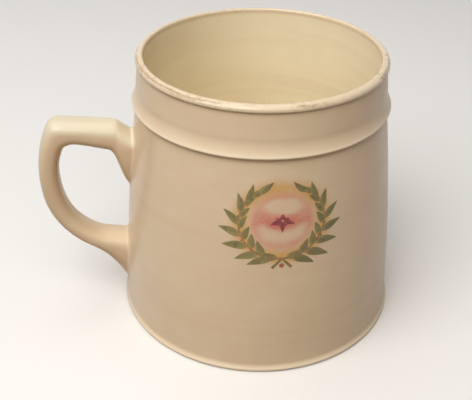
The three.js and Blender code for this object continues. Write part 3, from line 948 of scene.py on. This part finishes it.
# A round or lobed spot, as rings from its rim to its middle.
def add_disc(film, middle, radius, relief, shade, lobes=0, depth=0.0):
    angle = np.linspace(0, 2 * math.pi, DISC_SIDES + 1)[:-1]
    reach = radius - depth * (1 - np.cos(lobes * angle)) / 2
    shares = np.array([1, 0.92, 0.75, 0.5, 0.25, 0.02])
    x = middle[0] + shares[:, None] * reach * np.sin(angle)
    y = middle[1] + shares[:, None] * reach * np.cos(angle)
    height = relief * (1 - shares ** 6)[:, None] + DISC_LIFT
    lift = height * np.ones((1, DISC_SIDES))
    film.add(np.stack([x, y], -1), lift, shares[:, None], np.cos(lobes * angle)[None], shade, True)


# Colours of the prints
OLIVE = tone(156, 140, 80)
OLIVE_DEEP = tone(120, 108, 54)
OLIVE_SHADE = tone(100, 90, 44)
OLIVE_STROKE = tone(90, 85, 44)
VEIN = tone(82, 74, 38)
LEAF_EDGE = tone(182, 160, 92)
LEAF_ROOT = tone(184, 142, 72)
STEM_TAN = tone(178, 120, 74)
STEM_OLIVE = tone(126, 108, 60)
TAIL_OLIVE = tone(112, 104, 52)
STEM_LIGHT = tone(196, 152, 86)
BUD_TAN = tone(150, 84, 48)
BUD_BROWN = tone(110, 66, 36)
CRIMSON = tone(128, 34, 40)
PETAL_RIM = tone(156, 58, 60)
CRIMSON_DEEP = tone(100, 24, 30)
FLOWER_HEART = tone(214, 150, 110)
PETAL_LIGHT = tone(186, 98, 92)
BERRY_PINK = tone(172, 84, 72)
BERRY_RIM = tone(192, 126, 106)
BERRY_DEEP = tone(146, 64, 58)


# The shader of a fired print.
def print_finish(finish, colour):
    normal = finish.bump(finish.noise(900, 2), 0.2, 0.02)
    return finish.close({
        "Base Color": colour,
        "Roughness": finish.range(finish.noise(500, 2), 0.24, 0.38),
        "Normal": normal,
        "IOR": 1.5,
        "Coat Weight": 0.3,
        "Coat Roughness": 0.1,
        "Coat IOR": 1.5,
        "Specular IOR Level": 0.5,
    })


def leaf_print():
    finish = Finish("leaf_enamel")
    along, across, shade = (finish.attribute(key) for key in ("along", "across", "shade"))
    side = finish.calc("ABSOLUTE", across)
    colour = finish.mixed(finish.step(shade, 0.1, 0.9), OLIVE, OLIVE_DEEP)
    colour = finish.mixed(finish.product(finish.step(across, 0.1, -0.7), 0.4), colour, OLIVE_SHADE)
    strokes = finish.step(finish.noise(420, 3, 0.65), 0.42, 0.72)
    colour = finish.mixed(finish.product(strokes, 0.6), colour, OLIVE_STROKE)
    vein = finish.product(finish.step(side, 0.24, 0.04), finish.step(along, 0.98, 0.7))
    colour = finish.mixed(finish.product(vein, 0.45), colour, VEIN)
    colour = finish.mixed(finish.product(finish.step(side, 0.7, 1), 0.55), colour, LEAF_EDGE)
    colour = finish.mixed(finish.product(finish.step(along, 0.3, 0), 0.75), colour, LEAF_ROOT)
    return print_finish(finish, colour)


def stem_print():
    finish = Finish("stem_enamel")
    patch = finish.step(finish.noise(160, 2), 0.4, 0.62)
    colour = finish.mixed(patch, STEM_TAN, STEM_OLIVE)
    tail = finish.step(finish.attribute("along"), 0.14, 0.08)
    colour = finish.mixed(finish.product(tail, 0.8), colour, TAIL_OLIVE)
    flecks = finish.product(finish.step(finish.noise(700, 2), 0.5, 0.7), 0.5)
    colour = finish.mixed(flecks, colour, STEM_LIGHT)
    return print_finish(finish, colour)


def bud_print():
    finish = Finish("bud_enamel")
    colour = finish.mixed(finish.step(finish.noise(600, 2), 0.35, 0.65), BUD_TAN, BUD_BROWN)
    return print_finish(finish, colour)


def petal_print():
    finish = Finish("crimson_enamel")
    along, across, shade = (finish.attribute(key) for key in ("along", "across", "shade"))
    colour = finish.mixed(finish.step(along, 0.2, 0.9), CRIMSON, PETAL_RIM)
    colour = finish.mixed(finish.product(finish.step(across, 0.2, -0.9), 0.7), colour, CRIMSON_DEEP)
    middle = finish.product(finish.step(shade, 0.7, 0.8), finish.step(along, 0.34, 0.2))
    colour = finish.mixed(finish.product(middle, 0.8), colour, FLOWER_HEART)
    flecks = finish.product(finish.step(finish.noise(800, 2), 0.5, 0.7), 0.4)
    colour = finish.mixed(flecks, colour, PETAL_LIGHT)
    return print_finish(finish, colour)


def berry_print():
    finish = Finish("berry_enamel")
    along = finish.attribute("along")
    colour = finish.mixed(finish.step(along, 0.5, 1), BERRY_PINK, BERRY_RIM)
    flecks = finish.product(finish.step(finish.noise(900, 2), 0.45, 0.7), 0.4)
    colour = finish.mixed(flecks, colour, BERRY_DEEP)
    return print_finish(finish, colour)


# The small flower with its three leaves, and the berry under the stems' crossing.
def add_spots():
    rosette, berry = Film(), Film()
    size = (ROSETTE_LEAF_LENGTH, ROSETTE_LEAF_WIDTH)
    for angle in (-ROSETTE_LEAF_DROOP, 180 + ROSETTE_LEAF_DROOP, -90):
        add_leaf(rosette, (0, ROSETTE_HEIGHT), math.radians(angle), *size, 0, 0, 0.5)
    add_disc(rosette, (0, ROSETTE_HEIGHT), ROSETTE_RADIUS, ROSETTE_RELIEF, 0.9, ROSETTE_PETALS, ROSETTE_NOTCH)
    rosette.finish("crimson_rosette", petal_print(), "crimson_print", "rosette")
    add_disc(berry, (0, BERRY_HEIGHT), BERRY_RADIUS, BERRY_RELIEF, 0.5)
    berry.finish("pink_berry", berry_print(), "pink_print", "berry")


add_body()
add_handle()
add_wreath()
add_spots()


# Floor and light, in metres. Rays from the camera and from gloss see the backdrop's colour, and others see
# the floor's and the world's own.
BACKDROP = (0.9, 0.885, 0.86, 1)
FLOOR_COLOUR = (0.3, 0.26, 0.22, 1)
FLOOR_FADE = (0.3, 0.8)
FLOOR_HALF = 3
FLOOR_LEVEL = -0.0001
WORLD_LIGHT = (0.04, 0.037, 0.033, 1)
LAMP_SIZE = 0.8
LAMP_DISTANCE = 0.95
LAMP_AIM = 0.04


# A pale floor. Its far part, past a fade round the mug, glows as the backdrop and so has no edge.
def add_floor():
    mesh = bpy.data.meshes.new("floor")
    signs = [(-1, -1), (1, -1), (1, 1), (-1, 1)]
    corners = [(x * FLOOR_HALF, y * FLOOR_HALF, FLOOR_LEVEL) for x, y in signs]
    mesh.from_pydata(corners, [], [(0, 1, 2, 3)])
    finish = Finish("pale_floor")
    rays = finish.node("ShaderNodeLightPath").outputs
    seen = finish.calc("MAXIMUM", rays["Is Camera Ray"], rays["Is Glossy Ray"])
    seen = finish.calc("MAXIMUM", seen, rays["Is Transmission Ray"])
    colour = finish.mixed(seen, FLOOR_COLOUR, BACKDROP)
    distance = finish.node("ShaderNodeVectorMath", {0: finish.place}, operation="LENGTH").outputs["Value"]
    far = finish.step(distance, *FLOOR_FADE)
    mesh.materials.append(finish.close({
        "Base Color": finish.mixed(far, colour, (0, 0, 0, 1)),
        "Roughness": 0.9,
        "Specular IOR Level": 0,
        "Emission Color": BACKDROP,
        "Emission Strength": finish.product(far, seen),
    }))
    floor = bpy.data.objects.new("floor", mesh)
    bpy.context.scene.collection.objects.link(floor)


# A round light aimed at the mug from a bearing, in degrees from the front towards the left, and an elevation.
def add_light(name, bearing, elevation, power, colour=(1, 1, 1)):
    data = bpy.data.lights.new(name, "AREA")
    data.shape = "DISK"
    data.size = LAMP_SIZE
    data.energy = power
    data.color = colour
    light = bpy.data.objects.new(name, data)
    bpy.context.scene.collection.objects.link(light)
    a, e = math.radians(bearing), math.radians(elevation)
    back = Vector((-math.sin(a) * math.cos(e), -math.cos(a) * math.cos(e), math.sin(e)))
    light.location = Vector((0, 0, LAMP_AIM)) + LAMP_DISTANCE * back
    light.rotation_euler = (-back).to_track_quat("-Z", "Y").to_euler()


# The world is seen as a pale backdrop, and lights the object only faintly.
def add_world():
    world = bpy.data.worlds.new("studio")
    world.use_nodes = True
    tree = world.node_tree
    rays = tree.nodes.new("ShaderNodeLightPath").outputs
    seen = rays["Is Camera Ray"]
    for key in ("Is Glossy Ray", "Is Transmission Ray"):
        either = tree.nodes.new("ShaderNodeMath")
        either.operation = "MAXIMUM"
        tree.links.new(seen, either.inputs[0])
        tree.links.new(rays[key], either.inputs[1])
        seen = either.outputs[0]
    colour = tree.nodes.new("ShaderNodeMix")
    colour.data_type = "RGBA"
    tree.links.new(seen, colour.inputs[0])
    colour.inputs[6].default_value = WORLD_LIGHT
    colour.inputs[7].default_value = BACKDROP
    background = tree.nodes["Background"]
    tree.links.new(colour.outputs[2], background.inputs["Color"])
    background.inputs["Strength"].default_value = 1
    bpy.context.scene.world = world


add_floor()
add_light("key", 50, 54, 6.5)
add_light("front", -2, 52, 3.1, (1, 0.93, 0.86))
add_light("top", 180, 80, 1.8)
add_light("over", 140, 65, 1.2)
add_world()
bpy.context.scene.view_settings.view_transform = "Standard"
